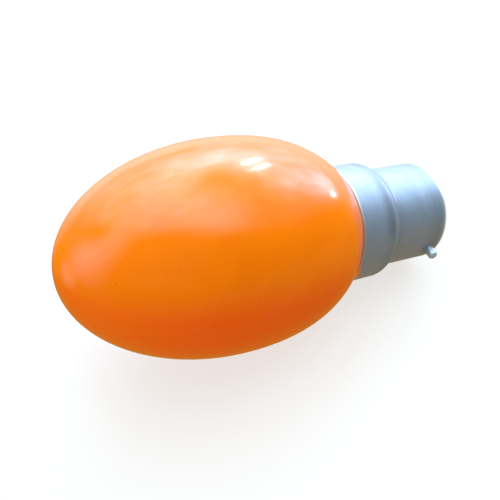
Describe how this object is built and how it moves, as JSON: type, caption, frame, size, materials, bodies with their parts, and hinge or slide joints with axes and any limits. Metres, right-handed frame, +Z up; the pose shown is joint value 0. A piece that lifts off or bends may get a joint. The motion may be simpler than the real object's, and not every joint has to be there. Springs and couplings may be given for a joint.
{
  "type": "light bulb",
  "caption": "Oval orange night lamp: blown bulb in opaque glossy lacquer, cemented into a stepped aluminium bayonet cap with side pins and soldered end contacts.",
  "frame": {"origin": "on the resting surface, under the middle of the lamp's length, on its vertical plane of the axis", "axes": "+X horizontally along the lamp towards the cap, +Z up as the lamp lies on its side; the lamp's own axis lies in the XZ plane and drops 13.98 degrees towards the cap"},
  "size_m": [0.0864, 0.0434, 0.0453],
  "materials": {
    "lacquered_glass": "gloss",
    "cap_aluminium": "satin",
    "cement": "matte",
    "insulator": "gloss",
    "pin_metal": "satin",
    "contact_brass": "satin",
    "solder": "satin",
    "lead_wire": "satin"
  },
  "bodies": {
    "root": {"glass_envelope": "lacquered_glass", "cap_shell": "cap_aluminium", "cement_ring": "cement", "insulator": "insulator", "bayonet_pin_near": "pin_metal", "bayonet_pin_far": "pin_metal", "contact_plate_a": "contact_brass", "contact_plate_b": "contact_brass", "solder_a": "solder", "solder_b": "solder", "lead_wire_a": "lead_wire", "lead_wire_b": "lead_wire"}
  },
  "joints": []
}
